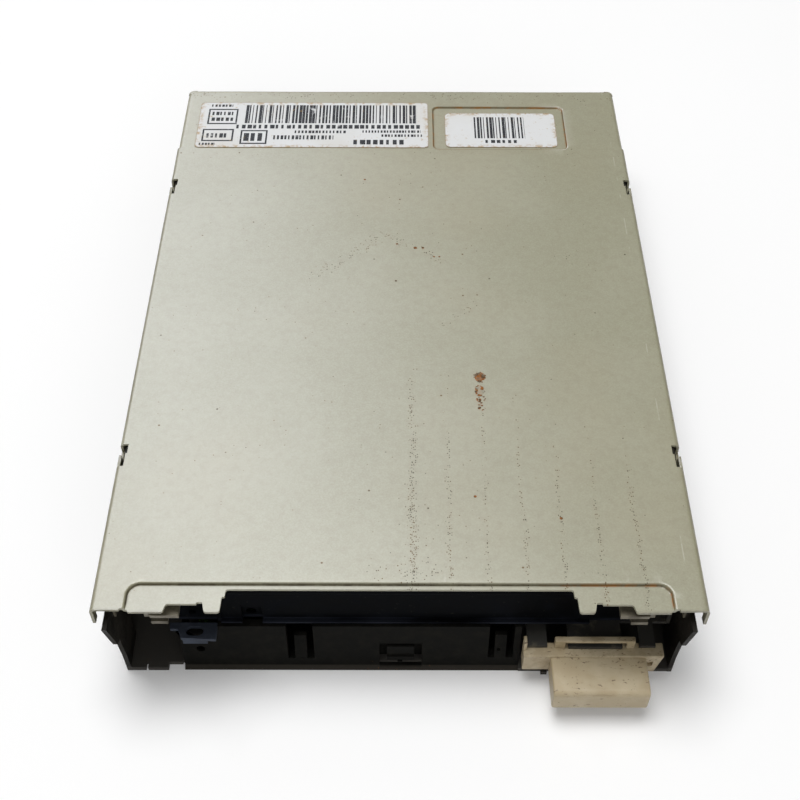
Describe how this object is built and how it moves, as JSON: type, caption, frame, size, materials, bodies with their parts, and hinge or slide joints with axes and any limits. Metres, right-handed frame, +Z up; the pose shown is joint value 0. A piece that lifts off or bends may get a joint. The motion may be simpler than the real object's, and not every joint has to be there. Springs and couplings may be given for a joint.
{
  "type": "floppy disk drive",
  "caption": "Bare floppy disk drive: pressed steel case, dust flap, sliding eject button, lifting disk holder, spindle motor, screw-driven head carriage and rear connectors.",
  "frame": {"origin": "on the rest face, centred across the drive and midway along the top cover", "axes": "+X right seen from the front, +Y to the rear connectors, +Z up through the cover"},
  "size_m": [0.1016, 0.1481, 0.0255],
  "materials": {
    "tray_steel": "satin",
    "cover_steel": "satin",
    "paper": "matte",
    "black_moulding": "satin",
    "blue_black_moulding": "satin",
    "zinc_sheet": "satin",
    "bright_steel": "satin",
    "black_sheet": "satin",
    "beige_moulding": "satin",
    "board_green": "satin",
    "lamination": "satin",
    "copper_wire": "satin",
    "bronze": "satin",
    "plated_steel": "satin",
    "ferrite": "matte",
    "casting": "satin",
    "grey_moulding": "satin",
    "head_ceramic": "satin",
    "amber_film": "gloss",
    "gold_pin": "satin",
    "tin_pin": "satin",
    "ivory_moulding": "satin",
    "capacitor_sleeve": "gloss",
    "chip_body": "matte",
    "lamp_green": "gloss"
  },
  "bodies": {
    "chassis": {"chassis_frame": "tray_steel", "top_cover": "cover_steel", "label_large": "paper", "label_small": "paper", "front_guide": "black_moulding", "bezel_boss": "blue_black_moulding", "flap_brackets": "zinc_sheet", "flap_pin": "bright_steel", "flap_spring": "bright_steel", "motor_board": "board_green", "stator_core": "lamination", "stator_coils": "copper_wire", "spindle_bearing": "bronze", "rod_blocks": "casting", "guide_rods": "bright_steel", "stepper_motor": "plated_steel", "stepper_bracket": "zinc_sheet", "head_flex": "amber_film", "main_board": "board_green", "signal_header": "black_moulding", "signal_pins": "gold_pin", "power_header": "ivory_moulding", "power_pins": "tin_pin", "controller_chip": "black_moulding", "driver_chips": "black_moulding", "capacitors": "capacitor_sleeve", "chip_parts": "chip_body", "flex_socket": "ivory_moulding", "track_sensor": "black_moulding", "activity_lamp": "lamp_green", "switch_bodies": "black_moulding", "board_screws": "bright_steel", "motor_screws": "bright_steel"},
    "flap": {"dust_flap": "blue_black_moulding"},
    "slide": {"slide_plate": "zinc_sheet", "button_bracket": "black_sheet", "bracket_rivets": "bright_steel", "eject_button": "beige_moulding", "slide_springs": "bright_steel"},
    "holder": {"disk_holder": "zinc_sheet", "holder_pins": "bright_steel", "trigger_rivet": "bright_steel", "trigger_spring": "bright_steel"},
    "trigger": {"trigger_lever": "zinc_sheet"},
    "rotor": {"rotor_cup": "plated_steel", "rotor_magnet": "ferrite", "spindle_shaft": "bright_steel", "disk_chuck": "plated_steel"},
    "driver": {"drive_pin": "bright_steel"},
    "carriage": {"head_carriage": "grey_moulding", "follower_pin": "bright_steel", "lower_head": "head_ceramic", "arm_pin": "bright_steel", "arm_spring": "bright_steel"},
    "head_arm": {"upper_arm": "grey_moulding", "upper_head": "head_ceramic"},
    "screw": {"lead_screw": "bright_steel"},
    "protect": {"protect_plunger": "ivory_moulding"},
    "density": {"density_plunger": "ivory_moulding"},
    "present": {"disk_plunger": "ivory_moulding"}
  },
  "joints": [
    {"name": "eject_press", "type": "slide", "parent": "chassis", "child": "slide", "axis": [0, -1, 0], "range_m": [0, 0.006], "deforming": ["slide_springs"]},
    {"name": "holder_drop", "type": "slide", "parent": "chassis", "child": "holder", "axis": [0, 0, -1], "range_m": [0, 0.003]},
    {"name": "trigger_swing", "type": "hinge", "parent": "holder", "child": "trigger", "pos_m": [0.03, 0.004, 0.0208], "axis": [0, 0, -1], "range_deg": [0, 38], "stiffness_Nm_per_rad": 0.005, "deforming": ["trigger_spring"]},
    {"name": "flap_swing", "type": "hinge", "parent": "chassis", "child": "flap", "pos_m": [0, -0.0643, 0.0222], "axis": [1, 0, 0], "range_deg": [0, 85], "stiffness_Nm_per_rad": 0.001, "deforming": ["flap_spring"]},
    {"name": "spindle_spin", "type": "hinge", "parent": "chassis", "child": "rotor", "pos_m": [0, -0.025, 0.008], "axis": [0, 0, 1], "continuous": true},
    {"name": "drive_pin_press", "type": "slide", "parent": "rotor", "child": "driver", "axis": [0, 0, -1], "range_m": [0, 0.001], "stiffness_N_per_m": 100},
    {"name": "carriage_seek", "type": "slide", "parent": "chassis", "child": "carriage", "axis": [0, -1, 0], "range_m": [0, 0.0148], "deforming": ["head_flex"]},
    {"name": "head_arm_drop", "type": "hinge", "parent": "carriage", "child": "head_arm", "pos_m": [0, 0.043, 0.015], "axis": [1, 0, 0], "range_deg": [0, 10], "deforming": ["arm_spring"]},
    {"name": "lead_screw_turn", "type": "hinge", "parent": "chassis", "child": "screw", "pos_m": [0.0225, 0.03, 0.01413], "axis": [0, -1, 0], "range_deg": [0, 1421]},
    {"name": "protect_press", "type": "slide", "parent": "chassis", "child": "protect", "axis": [0, 0, -1], "range_m": [0, 0.0012], "stiffness_N_per_m": 150},
    {"name": "density_press", "type": "slide", "parent": "chassis", "child": "density", "axis": [0, 0, -1], "range_m": [0, 0.0012], "stiffness_N_per_m": 150},
    {"name": "disk_sense_press", "type": "slide", "parent": "chassis", "child": "present", "axis": [0, 0, -1], "range_m": [0, 0.0012], "stiffness_N_per_m": 150}
  ],
  "couplings": [
    {"joint": "holder_drop", "follows": "eject_press", "ratio": 0.5},
    {"joint": "head_arm_drop", "follows": "eject_press", "rad_per_m": 29.089},
    {"joint": "lead_screw_turn", "follows": "carriage_seek", "rad_per_m": 1675.5}
  ]
}
